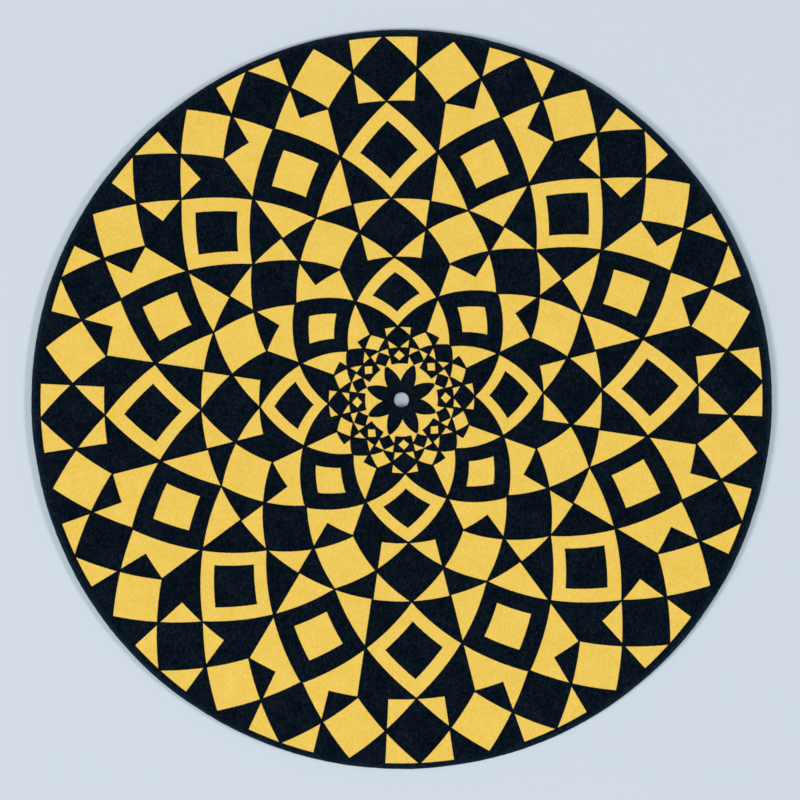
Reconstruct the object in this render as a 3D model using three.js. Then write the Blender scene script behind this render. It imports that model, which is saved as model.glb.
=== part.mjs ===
import * as THREE from "three";

// A felt mat for the platter of a record player: one flat disc of pressed felt, cut round,
// with a small hole in the middle that the player's spindle comes up through.
// Millimetres, +Z up out of the printed face. The origin is the middle of the spindle hole,
// on the plane that the mat lies on.

// Driving dimensions
const MAT_DIAMETER = 295;
const MAT_THICKNESS = 2.5;
const SPINDLE_HOLE_DIAMETER = 6;

// The cutting die presses the felt as it goes through, so the printed face turns down a
// little at each cut, and the fibres of the underside draw in less.
const TOP_SHOULDER_WIDTH = 0.7;
const TOP_SHOULDER_DROP = 0.55;
const BOTTOM_SHOULDER_WIDTH = 0.35;
const BOTTOM_SHOULDER_RISE = 0.35;

// How finely the round forms are cut into facets
const SEGMENTS_ROUND = 192;
const STEPS_ROUND_SHOULDER = 3;

const PRINTED_FELT = new THREE.MeshStandardMaterial({ color: 0x101a21, roughness: 0.95, metalness: 0 });

// A quarter of an ellipse from the point where angle is `from` to the point where it is `to`,
// about a centre in the (radius, height) plane.
function quarterRound(centre, halfWidth, halfHeight, from, to) {
  const points = [];
  for (let step = 0; step <= STEPS_ROUND_SHOULDER; step += 1) {
    const angle = from + ((to - from) * step) / STEPS_ROUND_SHOULDER;
    points.push(new THREE.Vector2(
      centre.x + halfWidth * Math.cos(angle),
      centre.y + halfHeight * Math.sin(angle),
    ));
  }
  return points;
}

// The section of the felt from the hole to the rim, as a closed loop in (radius, height).
function matSection() {
  const holeRadius = SPINDLE_HOLE_DIAMETER / 2;
  const rimRadius = MAT_DIAMETER / 2;
  const topY = MAT_THICKNESS - TOP_SHOULDER_DROP;
  const bottomY = BOTTOM_SHOULDER_RISE;
  const rimTop = new THREE.Vector2(rimRadius - TOP_SHOULDER_WIDTH, topY);
  const rimBottom = new THREE.Vector2(rimRadius - BOTTOM_SHOULDER_WIDTH, bottomY);
  const holeTop = new THREE.Vector2(holeRadius + TOP_SHOULDER_WIDTH, topY);
  const holeBottom = new THREE.Vector2(holeRadius + BOTTOM_SHOULDER_WIDTH, bottomY);
  const loop = [
    ...quarterRound(rimBottom, BOTTOM_SHOULDER_WIDTH, BOTTOM_SHOULDER_RISE, -Math.PI / 2, 0),
    ...quarterRound(rimTop, TOP_SHOULDER_WIDTH, TOP_SHOULDER_DROP, 0, Math.PI / 2),
    ...quarterRound(holeTop, TOP_SHOULDER_WIDTH, TOP_SHOULDER_DROP, Math.PI / 2, Math.PI),
    ...quarterRound(holeBottom, BOTTOM_SHOULDER_WIDTH, BOTTOM_SHOULDER_RISE, Math.PI, 1.5 * Math.PI),
  ];
  loop.push(loop[0].clone());
  return loop;
}

// The felt itself: the section turned once about the spindle's axis, which is laid along +Z.
function feltMat() {
  const geometry = new THREE.LatheGeometry(matSection(), SEGMENTS_ROUND);
  geometry.rotateX(Math.PI / 2);
  const mesh = new THREE.Mesh(geometry, PRINTED_FELT);
  mesh.name = "felt_mat";
  return mesh;
}

const platterMat = new THREE.Group();
platterMat.name = "turntable_platter_mat";
platterMat.add(feltMat());

export default platterMat;
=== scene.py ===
import math

import bpy
import numpy as np
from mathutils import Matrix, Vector, noise


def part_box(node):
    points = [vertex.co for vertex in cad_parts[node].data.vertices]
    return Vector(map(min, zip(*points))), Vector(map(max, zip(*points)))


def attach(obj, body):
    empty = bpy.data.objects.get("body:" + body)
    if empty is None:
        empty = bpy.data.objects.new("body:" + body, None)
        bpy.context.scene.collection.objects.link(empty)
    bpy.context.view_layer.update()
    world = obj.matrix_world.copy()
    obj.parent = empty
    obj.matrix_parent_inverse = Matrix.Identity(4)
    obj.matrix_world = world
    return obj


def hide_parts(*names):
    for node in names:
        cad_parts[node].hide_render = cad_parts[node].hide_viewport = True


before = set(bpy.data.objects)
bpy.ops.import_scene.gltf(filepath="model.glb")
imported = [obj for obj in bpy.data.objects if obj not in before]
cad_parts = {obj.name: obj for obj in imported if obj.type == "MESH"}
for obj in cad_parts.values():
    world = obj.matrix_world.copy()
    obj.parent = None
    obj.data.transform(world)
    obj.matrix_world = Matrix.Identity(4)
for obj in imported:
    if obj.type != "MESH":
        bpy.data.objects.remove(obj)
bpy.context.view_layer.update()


# The felt mat
# One disc of pressed felt, near-black right through, cut out with a round die that also takes out
# the spindle hole. The upper face is then printed in one warm yellow ink, and the bare black felt
# makes the rest of the pattern, the border and the hub.

MM = 0.001
mat_low, mat_high = (Vector(corner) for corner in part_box("felt_mat"))
rim_radius = (mat_high.x - mat_low.x) / 2
thickness = mat_high.z - mat_low.z
hole_radius = 3.0 * MM

# The die presses the felt down beside each cut
shoulder_width, shoulder_drop = 0.7 * MM, 0.55 * MM
foot_width, foot_rise = 0.35 * MM, 0.35 * MM
shoulder_foot = thickness - shoulder_drop

# The rim runs off a true circle in long waves: how many go round it, their height, and where one
# of them crests, in degrees
rim_waves = ((2, 0.14 * MM, -2), (3, 0.13 * MM, -36), (5, 0.09 * MM, 13))

# The rest of the unevenness is smooth noise: its height, the size of one lump, and a seed
rim_lumps = ((0.20 * MM, 17 * MM, 3.1), (0.09 * MM, 3 * MM, 7.7))
rim_wool = ((0.05 * MM, 0.9 * MM, 1.3),)
hole_wool = ((0.07 * MM, 2.2 * MM, 5.9),)
face_lumps = ((0.045 * MM, 38 * MM, 4.6), (0.030 * MM, 4.5 * MM, 2.4), (0.020 * MM, 1.9 * MM, 8.2))
rim_reach, hole_reach = 8 * MM, 2 * MM   # how far into the felt each cut's unevenness goes

# How finely the disc is divided
face_pitch, back_pitch = 1.3 * MM, 2.6 * MM
rim_wall_pitch, hole_wall_pitch = 0.35 * MM, 0.5 * MM
foot_steps, hole_brow_steps, rim_brow_steps = 3, 4, 5
fine_from = rim_radius - 2 * shoulder_width
rim_points = 1200
least_points = 60


def quarter_round(centre, radii, start, stop, steps):
    """A quarter of an ellipse as (radius, height) points, from one angle in degrees to another."""
    turns = np.radians(np.linspace(start, stop, steps + 1))
    return [(centre[0] + radii[0] * math.cos(a), centre[1] + radii[1] * math.sin(a)) for a in turns]


def between(start, stop, pitch):
    """Points spaced evenly on the line between two section points, without the two themselves."""
    count = max(2, round(math.dist(start, stop) / pitch))
    shares = np.linspace(0, 1, count + 1)[1:-1]
    return [(start[0] + s * (stop[0] - start[0]), start[1] + s * (stop[1] - start[1])) for s in shares]


foot, brow = (foot_width, foot_rise), (shoulder_width, shoulder_drop)
hole_foot = quarter_round((hole_radius + foot_width, foot_rise), foot, 270, 180, foot_steps)
hole_brow = quarter_round((hole_radius + shoulder_width, shoulder_foot), brow, 180, 90, hole_brow_steps)
rim_brow = quarter_round((rim_radius - shoulder_width, shoulder_foot), brow, 90, 0, rim_brow_steps)
rim_foot = quarter_round((rim_radius - foot_width, foot_rise), foot, 0, -90, foot_steps)

# The section as one closed loop: up the hole, out over the face, down the rim and back underneath
hole_side = hole_foot + between(hole_foot[-1], hole_brow[0], hole_wall_pitch) + hole_brow
face_side = between(hole_brow[-1], rim_brow[0], face_pitch)
rim_side = rim_brow + between(rim_brow[-1], rim_foot[0], rim_wall_pitch) + rim_foot
upper = hole_side + face_side + rim_side
section = upper + between(rim_foot[-1], hole_foot[0], back_pitch)


def points_in_ring(radius, height):
    """Fine at the rim, and elsewhere one point for each pitch of the face or the underside."""
    if radius > fine_from:
        return rim_points
    pitch = face_pitch if height > thickness / 2 else back_pitch
    return max(least_points, round(2 * math.pi * radius / pitch))


def unevenness(lumps, x, y, z=0.0):
    """Smooth noise of one or more sizes, added up."""
    moved = 0.0
    for height, size, seed in lumps:
        moved += height * noise.noise(Vector((x / size + seed, y / size - seed, z / size + 2 * seed)))
    return moved


def felt_point(radius, height, angle):
    """One point of the mat, with the slight unevenness that cut felt has."""
    x, y = radius * math.cos(angle), radius * math.sin(angle)
    near_rim = max(0.0, 1 - (rim_radius - radius) / rim_reach)
    near_hole = max(0.0, 1 - (radius - hole_radius) / hole_reach)
    rim_out = unevenness(rim_lumps, x, y) + unevenness(rim_wool, x, y, height)
    for waves, size, crest in rim_waves:
        rim_out += size * math.cos(waves * (angle - math.radians(crest)))
    radius += near_rim * rim_out + near_hole * unevenness(hole_wool, x, y, height)
    rise = unevenness(face_lumps, x, y)
    height = max(0.0, height + rise * height / thickness)
    return radius * math.cos(angle), radius * math.sin(angle), height


def stitch(inner, outer):
    """Triangles between two rings of any number of points, walking round both at one pace."""
    triangles = []
    inner_walked = outer_walked = 0
    inner_count, outer_count = len(inner), len(outer)
    while inner_walked < inner_count or outer_walked < outer_count:
        here = inner[inner_walked % inner_count]
        across = outer[outer_walked % outer_count]
        inner_behind = (inner_walked + 1) * outer_count <= (outer_walked + 1) * inner_count
        if outer_walked == outer_count or (inner_walked < inner_count and inner_behind):
            inner_walked += 1
            triangles.append((here, across, inner[inner_walked % inner_count]))
        else:
            outer_walked += 1
            triangles.append((here, across, outer[outer_walked % outer_count]))
    return triangles


# Where each ring lies on a flat chart that is unrolled outward from the hole's foot
reach = [0.0]
for here, following in zip(upper, upper[1:]):
    reach.append(reach[-1] + math.dist(here, following))
face_first = len(hole_side) - 1
reach = [r - reach[face_first] + upper[face_first][0] for r in reach]

points, chart_points, rings = [], [], []
for number, (radius, height) in enumerate(section):
    count = points_in_ring(radius, height)
    rings.append(range(len(points), len(points) + count))
    spread = reach[number] if number < len(upper) else radius
    for angle in np.linspace(0, 2 * math.pi, count, endpoint=False):
        points.append(felt_point(radius, height, angle))
        chart_points.append((spread * math.cos(angle), spread * math.sin(angle)))

triangles, underneath = [], []
for number, ring in enumerate(rings):
    made = stitch(ring, rings[(number + 1) % len(rings)])
    triangles += made
    underneath += [number >= len(upper) - 1] * len(made)

felt_mesh = bpy.data.meshes.new("printed_felt_mat")
felt_mesh.from_pydata(points, [], triangles)
felt_mesh.shade_smooth()
felt_mat = bpy.data.objects.new("printed_felt_mat", felt_mesh)
bpy.context.scene.collection.objects.link(felt_mat)

# The finish is charted in two discs: face and cut edges in the large one, underside in the other
face_chart, face_chart_radius = (0.43, 0.43), 0.42
back_chart, back_chart_radius = (0.85, 0.85), 0.14
chart = felt_mesh.uv_layers.new(name="OFBake")
corners = np.array(triangles)
on_back = np.array(underneath)[:, None, None]
back_place = np.array(points)[:, :2][corners] * (back_chart_radius / rim_radius) + back_chart
face_place = np.array(chart_points)[corners] * (face_chart_radius / reach[-1]) + face_chart
chart.uv.foreach_set("vector", np.where(on_back, back_place, face_place).astype(np.float32).ravel())


def put(tree, kind, feeds=None, **settings):
    """Adds a node. Feeds go to sockets by name or number: a socket is linked and a value is set."""
    node = tree.nodes.new(kind)
    for name, value in settings.items():
        setattr(node, name, value)
    for socket, value in (feeds or {}).items():
        if isinstance(value, bpy.types.NodeSocket):
            tree.links.new(value, node.inputs[socket])
        else:
            node.inputs[socket].default_value = value
    return node


def reckon(tree, operation, *values, clamp=False):
    """Adds a Math node and gives its result."""
    feeds = dict(enumerate(values))
    return put(tree, "ShaderNodeMath", feeds, operation=operation, use_clamp=clamp).outputs[0]


def mix_colour(tree, share, first, second):
    """Adds a colour Mix node and gives its result."""
    feeds = {0: share, 6: first, 7: second}
    return put(tree, "ShaderNodeMix", feeds, data_type="RGBA").outputs[2]


def stretch(tree, value, low, high, interpolation="LINEAR"):
    """Spreads the values from low to high over 0 to 1, and cuts off the rest."""
    feeds = {"Value": value, "From Min": low, "From Max": high}
    return put(tree, "ShaderNodeMapRange", feeds, interpolation_type=interpolation).outputs[0]


def off_axis(tree, position):
    """How far a position is from the spindle's axis."""
    flat = put(tree, "ShaderNodeVectorMath", {0: position, 1: (1, 1, 0)}, operation="MULTIPLY")
    return put(tree, "ShaderNodeVectorMath", {0: flat.outputs[0]}, operation="LENGTH").outputs["Value"]


def wander(tree, position, size, detail, reach):
    """Moves a position about by smooth noise of one size of lump, by up to half the reach."""
    noise_feeds = {"Vector": position, "Scale": 1 / size, "Detail": detail}
    drift = put(tree, "ShaderNodeTexNoise", noise_feeds).outputs["Color"]
    centred = put(tree, "ShaderNodeVectorMath", {0: drift, 1: (0.5, 0.5, 0.5)}, operation="SUBTRACT")
    moved = put(tree, "ShaderNodeVectorMath", {0: centred.outputs[0], "Scale": reach}, operation="SCALE")
    there = put(tree, "ShaderNodeVectorMath", {0: position, 1: moved.outputs[0]}, operation="ADD")
    return there.outputs[0]


def wisps(tree, position, width, length, **noise_feeds):
    """Noise that is drawn out up the mat, into wisps of one width and length."""
    scale = (1 / width, 1 / length, 1 / width)
    drawn = put(tree, "ShaderNodeMapping", {"Vector": position, "Scale": scale}).outputs[0]
    return put(tree, "ShaderNodeTexNoise", {"Vector": drawn, "Scale": 1, **noise_feeds}).outputs[0]


def new_group(name, inputs, outputs):
    """An empty shader group with float or colour sockets, and its input and output nodes."""
    tree = bpy.data.node_groups.new(name, "ShaderNodeTree")
    for socket, kind in inputs.items():
        tree.interface.new_socket(socket, in_out="INPUT", socket_type=kind)
    for socket, kind in outputs.items():
        tree.interface.new_socket(socket, in_out="OUTPUT", socket_type=kind)
    return tree, tree.nodes.new("NodeGroupInput").outputs, tree.nodes.new("NodeGroupOutput").inputs


# Felt under a glass: strands lie across each other every way, a little more of them up the mat,
# in a nap of short tufts, and the wool is a little denser in some places than in others
strand_length, strand_width = 2.4 * MM, 0.17 * MM
tuft_length, tuft_width = 1.5 * MM, 0.60 * MM
bend_size, cloud_size = 1.6 * MM, 7 * MM
strand_crest, tuft_crest, cloud_crest = (0.60, 0.76), (0.28, 0.72), (0.3, 0.7)
strand_relief = 0.45

# The layers of strands: their lean from straight up the mat, in degrees, and how much they show
strand_layers = ((-70, 0.55), (38, 0.65), (-33, 0.75), (77, 0.85), (4, 1.0))
layer_shift = (0.013, 0.007, 0.011)   # each layer is cut from another place in the noise


def felt_fibres():
    """The shader group for the felt's grain."""
    tree, given, result = new_group(
        "felt_fibres",
        {"Position": "NodeSocketVector", "Bend": "NodeSocketFloat"},
        {name: "NodeSocketFloat" for name in ("Strands", "Nap", "Density", "Height")},
    )
    place = wander(tree, given["Position"], bend_size, 1, given["Bend"])
    strands = 0.0
    for layer, (lean, standing) in enumerate(strand_layers):
        turned = put(tree, "ShaderNodeMapping", {
            "Vector": place,
            "Location": [layer * shift for shift in layer_shift],
            "Rotation": (0, 0, math.radians(lean)),
        }).outputs[0]
        wisp = wisps(tree, turned, strand_width, strand_length, Detail=0)
        crest = stretch(tree, wisp, *strand_crest, "SMOOTHSTEP")
        strands = reckon(tree, "MAXIMUM", strands, reckon(tree, "MULTIPLY", crest, standing))
    tufts = wisps(tree, place, tuft_width, tuft_length, Detail=3, Roughness=0.7)
    nap = stretch(tree, tufts, *tuft_crest, "SMOOTHSTEP")
    cloud = put(tree, "ShaderNodeTexNoise", {"Vector": place, "Scale": 1 / cloud_size, "Detail": 3})
    density = stretch(tree, cloud.outputs[0], *cloud_crest)
    height = reckon(tree, "MULTIPLY_ADD", strands, strand_relief, nap)
    tree.links.new(strands, result["Strands"])
    tree.links.new(nap, result["Nap"])
    tree.links.new(density, result["Density"])
    tree.links.new(height, result["Height"])
    return tree


# One ring of the print: cells that change colour by turns, each with a square on its corner and
# one more inside. Every shape is a distance to its own edge, above zero where there is ink.
ring_inputs = (
    "Turn", "Radius", "Outer", "Inner", "Cells", "Start", "Square", "Square Inside", "Key Line", "Bleed",
)


def ring_of_squares():
    """The shader group for one ring of the print."""
    tree, given, result = new_group(
        "ring_of_squares",
        {name: "NodeSocketFloat" for name in ring_inputs},
        {"Ink": "NodeSocketFloat"},
    )
    depth = reckon(tree, "SUBTRACT", given["Outer"], given["Inner"])
    inside_outer = reckon(tree, "SUBTRACT", given["Outer"], given["Radius"])
    outside_inner = reckon(tree, "SUBTRACT", given["Radius"], given["Inner"])

    # Distances from the middle of the cell, as shares of its width and depth
    across = reckon(tree, "MULTIPLY_ADD", given["Turn"], given["Cells"], 0.5)
    along = reckon(tree, "DIVIDE", inside_outer, depth)
    off_middle = reckon(tree, "SUBTRACT", 0.5, reckon(tree, "PINGPONG", across, 0.5))
    off_waist = reckon(tree, "ABSOLUTE", reckon(tree, "SUBTRACT", along, 0.5))
    off_centre = reckon(tree, "ADD", off_middle, off_waist)

    # The wave is 0.5 at the sides of the cells, above it in one cell and below it in the next
    started = reckon(tree, "ADD", reckon(tree, "ADD", across, 0.5), given["Start"])
    wave = reckon(tree, "PINGPONG", started, 1.0)
    circle = reckon(tree, "MULTIPLY", given["Radius"], 2 * math.pi)
    cell_width = reckon(tree, "DIVIDE", circle, given["Cells"])
    inked = reckon(tree, "MULTIPLY", reckon(tree, "SUBTRACT", wave, 0.5), cell_width)

    # A square takes the other colour than what it lies on
    for size in ("Square", "Square Inside"):
        margin = reckon(tree, "MULTIPLY", reckon(tree, "SUBTRACT", given[size], off_centre), depth)
        square = reckon(tree, "MULTIPLY", margin, math.sqrt(0.5))
        outside_it = reckon(tree, "MINIMUM", inked, reckon(tree, "MULTIPLY", square, -1))
        inside_it = reckon(tree, "MINIMUM", reckon(tree, "MULTIPLY", inked, -1), square)
        inked = reckon(tree, "MAXIMUM", outside_it, inside_it)

    inked = reckon(tree, "SUBTRACT", inked, given["Key Line"])
    inked = reckon(tree, "MINIMUM", reckon(tree, "MINIMUM", inked, inside_outer), outside_inner)
    ink = reckon(tree, "ADD", 0.5, reckon(tree, "DIVIDE", inked, given["Bleed"]), clamp=True)
    tree.links.new(ink, result["Ink"])
    return tree


# Colours are linear light. The yellow is opaque ink that lies on the felt; the black is dyed wool.
ink_yellow = (0.9535, 0.677, 0.1555, 1)
ink_shade = (0.827, 0.538, 0.064, 1)
felt_black = (0.0002, 0.0026, 0.0057, 1)
felt_grey = (0.0119, 0.0193, 0.0324, 1)
# edge_grey is the bluer grey that the bare felt is given in the band along the rim
edge_grey = (0.0078, 0.0265, 0.0425, 1)

# The print, from the rim inward: outer and inner radius, cells round, first colour, and half the
# diagonal of each cell's two squares as a share of the cell, so 0.5 reaches its sides and -1 is none
print_rings = (
    (144.3 * MM, 119 * MM, 32, 0, 0.5, -1),
    (119 * MM, 80 * MM, 16, 1, 0.5, 0.28),
    (80 * MM, 57 * MM, 16, 0, 0.5, -1),
    (57 * MM, 29 * MM, 8, 1, 0.5, 0.26),
    (29 * MM, 21 * MM, 16, 0, 0.5, -1),
    (21 * MM, 14.5 * MM, 16, 1, 0.4, -1),
)
star_radius, hub_radius, star_points = 14.5 * MM, 7 * MM, 8
print_stretch = (0.9966, 1.0035)   # the felt gave more up the mat than across it when it was printed
print_turn = math.radians(2.9)
key_line = 0.45 * MM               # bare felt left along the ink inside each ring and round the star
ink_bleed = 0.16 * MM
fibre_stray = 0.22 * MM            # how far single strands carry the ink
stray_size = 0.28 * MM
print_lowest = 0.7 * thickness     # the ink doesn't reach the underside

strand_bend = 0.5 * MM             # how much the strands wave
grain_depth, grain_strength = 0.12 * MM, 0.7
felt_roughness = (0.84, 0.97)

# How much the parts of the grain lighten the ink, and how much they grey the bare felt, which
# starts below zero so that only the tips of the grain show
ink_grain = {"Density": 0.28, "Nap": 0.60, "Strands": 0.25}
felt_grain = {"Density": 0.28, "Nap": 0.33, "Strands": 1.01}
felt_grain_start = -0.41

# Toward the rim the bare felt is made greyer and bluer: the band in from the rim, its curve, and the
# grey it adds
greying_band = (4.2 * MM, 0.3 * MM)
greying_curve, greying_amount = 3, 0.64

felt_look = bpy.data.materials.new("printed_felt")
felt_look.use_nodes = True
tree = felt_look.node_tree
tree.nodes.clear()
position = put(tree, "ShaderNodeTexCoord").outputs["Object"]
fibre_feeds = {"Position": position, "Bend": strand_bend}
fibres = put(tree, "ShaderNodeGroup", fibre_feeds, node_tree=felt_fibres()).outputs

laid = put(tree, "ShaderNodeMapping", {
    "Vector": wander(tree, position, stray_size, 2, 2 * fibre_stray),
    "Rotation": (0, 0, -print_turn),
    "Scale": (1 / print_stretch[0], 1 / print_stretch[1], 1),
}).outputs[0]
axis = put(tree, "ShaderNodeSeparateXYZ", {0: laid}).outputs
turn = reckon(tree, "DIVIDE", reckon(tree, "ARCTAN2", axis["X"], axis["Y"]), 2 * math.pi)
radius = off_axis(tree, laid)

squares = ring_of_squares()
ink = 0.0
for ring_sizes in print_rings:
    feeds = dict(zip(ring_inputs, (turn, radius, *ring_sizes, key_line, ink_bleed)))
    ring = put(tree, "ShaderNodeGroup", feeds, node_tree=squares).outputs[0]
    ink = reckon(tree, "ADD", ink, ring, clamp=True)

# Round the hub the ink runs inward in points, which leaves a black star
star_depth = star_radius - hub_radius
point_wave = reckon(tree, "PINGPONG", reckon(tree, "MULTIPLY_ADD", turn, star_points, 0.5), 0.5)
off_point = reckon(tree, "SUBTRACT", 0.5, point_wave)
climb = reckon(tree, "DIVIDE", reckon(tree, "SUBTRACT", radius, hub_radius), star_depth)
star = reckon(tree, "SUBTRACT", climb, reckon(tree, "MULTIPLY", off_point, 2))
star = reckon(tree, "MULTIPLY_ADD", star, star_depth * math.sqrt(0.5), -key_line)
star = reckon(tree, "MINIMUM", star, reckon(tree, "SUBTRACT", star_radius, radius))
star = reckon(tree, "ADD", reckon(tree, "DIVIDE", star, ink_bleed), 0.5, clamp=True)
ink = reckon(tree, "ADD", ink, star, clamp=True)

# Only the upper face is printed
height = put(tree, "ShaderNodeSeparateXYZ", {0: position}).outputs["Z"]
ink = reckon(tree, "MULTIPLY", ink, reckon(tree, "GREATER_THAN", height, print_lowest))

# Tufts and strands that stand up catch the light, and thin places of the felt are a little darker
tone = 0.0
for part, share in ink_grain.items():
    tone = reckon(tree, "MULTIPLY_ADD", fibres[part], share, tone)
yellow = mix_colour(tree, tone, ink_shade, ink_yellow)

# The black shows more of the strands than the ink does, and it turns greyer and bluer in the band along
# the rim
nearness = stretch(tree, off_axis(tree, position), *(rim_radius - inward for inward in greying_band))
rim_greying = reckon(tree, "POWER", nearness, greying_curve)
grey_share = reckon(tree, "MULTIPLY_ADD", rim_greying, greying_amount, felt_grain_start)
for part, share in felt_grain.items():
    grey_share = reckon(tree, "MULTIPLY_ADD", fibres[part], share, grey_share)
black = mix_colour(tree, grey_share, felt_black, mix_colour(tree, rim_greying, felt_grey, edge_grey))

colour = mix_colour(tree, ink, black, yellow)
rough_feeds = {"Value": fibres["Nap"], "To Min": felt_roughness[0], "To Max": felt_roughness[1]}
bump_feeds = {"Height": fibres["Height"], "Strength": grain_strength, "Distance": grain_depth}
skin = put(tree, "ShaderNodeBsdfPrincipled", {
    "Base Color": colour,
    "Roughness": put(tree, "ShaderNodeMapRange", rough_feeds).outputs[0],
    "Normal": put(tree, "ShaderNodeBump", bump_feeds).outputs[0],
    "Specular IOR Level": 0.005,
    "Sheen Weight": 0.008,
    "Sheen Roughness": 0.6,
})
put(tree, "ShaderNodeOutputMaterial", {"Surface": skin.outputs[0]})
felt_mesh.materials.append(felt_look)

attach(felt_mat, "root")
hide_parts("felt_mat")


# Fuzz of the cut edges
# Single wool fibres that the die left standing out of the rim and out of the wall of the hole.
# They are the felt's own black fibre, a few tenths of a millimetre long.

fuzz_sizes = {
    "Fibres per Square Metre": 3.2e6,
    "Fibre Length": 0.5 * MM,
    "Fibre Radius": 0.016 * MM,
    "Lowest": 0.75 * MM,
    "Rim Band": rim_radius - 0.55 * MM,
    "Hole Band": hole_radius + 0.4 * MM,
    "Hole Share": 0.5,
}
fuzz_seed = 11
root_depth = 0.05 * MM
hook_share = 0.4                   # how far the tip hooks over, as a share of the length
sway = (0.9, 0.9, math.pi)         # the most that a fibre leans two ways and turns, in radians
length_range = (0.35, 1.15)
fuzz_grey = (0.030, 0.042, 0.055, 1)
fuzz_roughness, fleck_roughness = 0.7, 0.2   # of the darkest fibre, and what the greyest flecks add
fleck_size, fleck_crest = 0.5 * MM, (0.35, 0.75)

fuzz_tree = bpy.data.node_groups.new("edge_fuzz", "GeometryNodeTree")
fuzz_tree.interface.new_socket("Geometry", in_out="INPUT", socket_type="NodeSocketGeometry")
fuzz_settings = {}
for name, value in fuzz_sizes.items():
    socket = fuzz_tree.interface.new_socket(name, in_out="INPUT", socket_type="NodeSocketFloat")
    fuzz_settings[socket.identifier] = value
socket = fuzz_tree.interface.new_socket("Seed", in_out="INPUT", socket_type="NodeSocketInt")
fuzz_settings[socket.identifier] = fuzz_seed
fuzz_tree.interface.new_socket("Geometry", in_out="OUTPUT", socket_type="NodeSocketGeometry")
given = fuzz_tree.nodes.new("NodeGroupInput").outputs

# Only the cut walls and their upper rounding carry fuzz, and the hole has less of it
place = put(fuzz_tree, "GeometryNodeInputPosition").outputs[0]
level = put(fuzz_tree, "ShaderNodeSeparateXYZ", {0: place}).outputs["Z"]
flat_distance = off_axis(fuzz_tree, place)
at_rim = reckon(fuzz_tree, "GREATER_THAN", flat_distance, given["Rim Band"])
at_hole = reckon(fuzz_tree, "LESS_THAN", flat_distance, given["Hole Band"])
clear = reckon(fuzz_tree, "GREATER_THAN", level, given["Lowest"])
wall = reckon(fuzz_tree, "MULTIPLY", clear, reckon(fuzz_tree, "MAXIMUM", at_rim, at_hole))
missing = reckon(fuzz_tree, "MULTIPLY", at_hole, given["Hole Share"])
thinning = reckon(fuzz_tree, "SUBTRACT", 1.0, missing)
roots = put(fuzz_tree, "GeometryNodeDistributePointsOnFaces", {
    "Mesh": given["Geometry"], "Selection": wall, "Seed": given["Seed"],
    "Density": reckon(fuzz_tree, "MULTIPLY", given["Fibres per Square Metre"], thinning),
})

# One fibre: a bent thread of three sides, closed at both ends
half_length = reckon(fuzz_tree, "MULTIPLY", given["Fibre Length"], 0.5)
hook = reckon(fuzz_tree, "MULTIPLY", given["Fibre Length"], hook_share)
middle = put(fuzz_tree, "ShaderNodeCombineXYZ", {"Z": half_length}).outputs[0]
tip = put(fuzz_tree, "ShaderNodeCombineXYZ", {"X": hook, "Z": given["Fibre Length"]}).outputs[0]
bend = put(fuzz_tree, "GeometryNodeCurveQuadraticBezier", {
    "Resolution": 3, "Start": (0, 0, -root_depth), "Middle": middle, "End": tip,
})
girth = put(fuzz_tree, "GeometryNodeCurvePrimitiveCircle", {
    "Resolution": 3, "Radius": given["Fibre Radius"],
})
thread = put(fuzz_tree, "GeometryNodeCurveToMesh", {
    "Curve": bend.outputs[0], "Profile Curve": girth.outputs[0], "Fill Caps": True,
})

upright = put(fuzz_tree, "FunctionNodeAlignRotationToVector", {
    "Vector": roots.outputs["Normal"],
}, axis="Z")
swaying = put(fuzz_tree, "FunctionNodeRandomValue", {
    "Min": [-most for most in sway], "Max": sway, "Seed": given["Seed"],
}, data_type="FLOAT_VECTOR")
swayed = put(fuzz_tree, "FunctionNodeRotateRotation", {
    "Rotation": upright.outputs[0], "Rotate By": swaying.outputs[0],
}, rotation_space="LOCAL")
size = put(fuzz_tree, "FunctionNodeRandomValue", {
    2: length_range[0], 3: length_range[1], "Seed": given["Seed"],
}, data_type="FLOAT")
standing = put(fuzz_tree, "GeometryNodeInstanceOnPoints", {
    "Points": roots.outputs[0], "Instance": thread.outputs[0],
    "Rotation": swayed.outputs[0], "Scale": size.outputs[1],
})
real = put(fuzz_tree, "GeometryNodeRealizeInstances", {0: standing.outputs[0]})

fuzz_look = bpy.data.materials.new("felt_fuzz")
fuzz_look.use_nodes = True
tree = fuzz_look.node_tree
tree.nodes.clear()
position = put(tree, "ShaderNodeTexCoord").outputs["Object"]
flecks = put(tree, "ShaderNodeTexNoise", {"Vector": position, "Scale": 1 / fleck_size, "Detail": 1})
tone = stretch(tree, flecks.outputs[0], *fleck_crest)
strand = put(tree, "ShaderNodeBsdfPrincipled", {
    "Base Color": mix_colour(tree, tone, felt_black, fuzz_grey),
    "Roughness": reckon(tree, "MULTIPLY_ADD", tone, fleck_roughness, fuzz_roughness),
    "Specular IOR Level": 0.2,
})
put(tree, "ShaderNodeOutputMaterial", {"Surface": strand.outputs[0]})
finish = put(fuzz_tree, "GeometryNodeSetMaterial", {0: real.outputs[0], "Material": fuzz_look})
put(fuzz_tree, "NodeGroupOutput", {0: finish.outputs[0]})

grower = bpy.data.objects.new("fuzz_grower", felt_mesh)
bpy.context.scene.collection.objects.link(grower)
growth = grower.modifiers.new("edge_fuzz", "NODES")
growth.node_group = fuzz_tree
for identifier, value in fuzz_settings.items():
    growth[identifier] = value
bpy.context.view_layer.update()
grown = grower.evaluated_get(bpy.context.evaluated_depsgraph_get())
fuzz_mesh = bpy.data.meshes.new_from_object(grown)
fuzz_mesh.name = "edge_fuzz"
bpy.data.objects.remove(grower)

# The mat's chart came along with the roots, and the fuzz has no use for it
fuzz_mesh.attributes.remove(fuzz_mesh.attributes["OFBake"])
edge_fuzz = bpy.data.objects.new("edge_fuzz", fuzz_mesh)
bpy.context.scene.collection.objects.link(edge_fuzz)

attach(edge_fuzz, "root")


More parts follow.
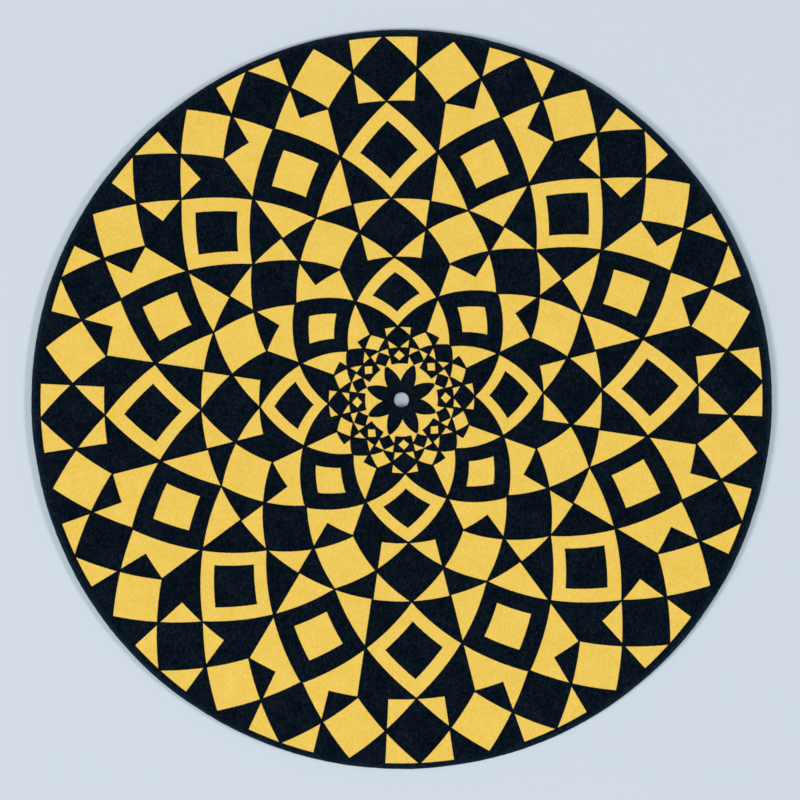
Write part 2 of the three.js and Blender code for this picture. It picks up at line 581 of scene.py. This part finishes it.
# The studio
# The mat lies on a plain pale blue-grey sheet, and is looked straight down on. A broad soft light
# hangs above it, a little colder than the room, and two smaller lamps left and right of it throw
# the shadows along its rim.

floor_half = 12.0
floor_corners = [(x * floor_half, y * floor_half, 0) for x, y in ((-1, -1), (1, -1), (1, 1), (-1, 1))]
floor_mesh = bpy.data.meshes.new("floor")
floor_mesh.from_pydata(floor_corners, [], [(0, 1, 2, 3)])
floor = bpy.data.objects.new("floor", floor_mesh)
bpy.context.scene.collection.objects.link(floor)
floor_look = bpy.data.materials.new("floor_paper")
floor_look.use_nodes = True
paper = floor_look.node_tree.nodes["Principled BSDF"].inputs
paper["Base Color"].default_value = (0.639, 0.706, 0.789, 1)
paper["Roughness"].default_value = 0.9
paper["Specular IOR Level"].default_value = 0.1
floor_mesh.materials.append(floor_look)


def softbox(name, bearing, from_zenith, distance, size, power, colour):
    """A square lamp that points at the mat. Its bearing is seen from above, in degrees from +X."""
    lamp = bpy.data.lights.new(name, "AREA")
    lamp.shape = "SQUARE"
    lamp.size = size
    lamp.energy = power
    lamp.color = colour
    stand = bpy.data.objects.new(name, lamp)
    round_it, down = math.radians(bearing), math.radians(from_zenith)
    outward = math.sin(down)
    stand.location = Vector((math.cos(round_it) * outward, math.sin(round_it) * outward, math.cos(down)))
    stand.location *= distance
    stand.rotation_mode = "QUATERNION"
    stand.rotation_quaternion = stand.location.to_track_quat("Z", "Y")
    bpy.context.scene.collection.objects.link(stand)


softbox("left_lamp", bearing=201.5, from_zenith=51.7, distance=6.0, size=1.8, power=211.8,
        colour=(1, 0.928, 0.928))
softbox("right_lamp", bearing=-7.5, from_zenith=55, distance=8.3, size=1.42, power=304.9,
        colour=(1, 0.918, 0.918))
softbox("overhead", bearing=274, from_zenith=16.5, distance=8.5, size=5.2, power=232,
        colour=(0.702, 1, 1))

world = bpy.data.worlds.new("room")
bpy.context.scene.world = world
world.use_nodes = True
room = world.node_tree.nodes["Background"].inputs
room["Color"].default_value = (1.0, 0.808, 0.842, 1)
room["Strength"].default_value = 0.196

# The photograph is 800 px square, and the mat is 740 px across in it, just right of the middle
photo_width = 800
mat_width_px = 739.8
camera_height = 1.0
eye_left, eye_down = 0.60 * MM, 0.01 * MM
camera = bpy.data.cameras.new("camera")
camera.sensor_width = 36
shown_width = 2 * rim_radius * photo_width / mat_width_px
camera.lens = camera.sensor_width * (camera_height - shoulder_foot) / shown_width
eye = bpy.data.objects.new("camera", camera)
eye.location = (-eye_left, -eye_down, camera_height)
bpy.context.scene.collection.objects.link(eye)
bpy.context.scene.camera = eye
bpy.context.scene.view_settings.view_transform = "Standard"
bpy.context.scene.view_settings.look = "None"
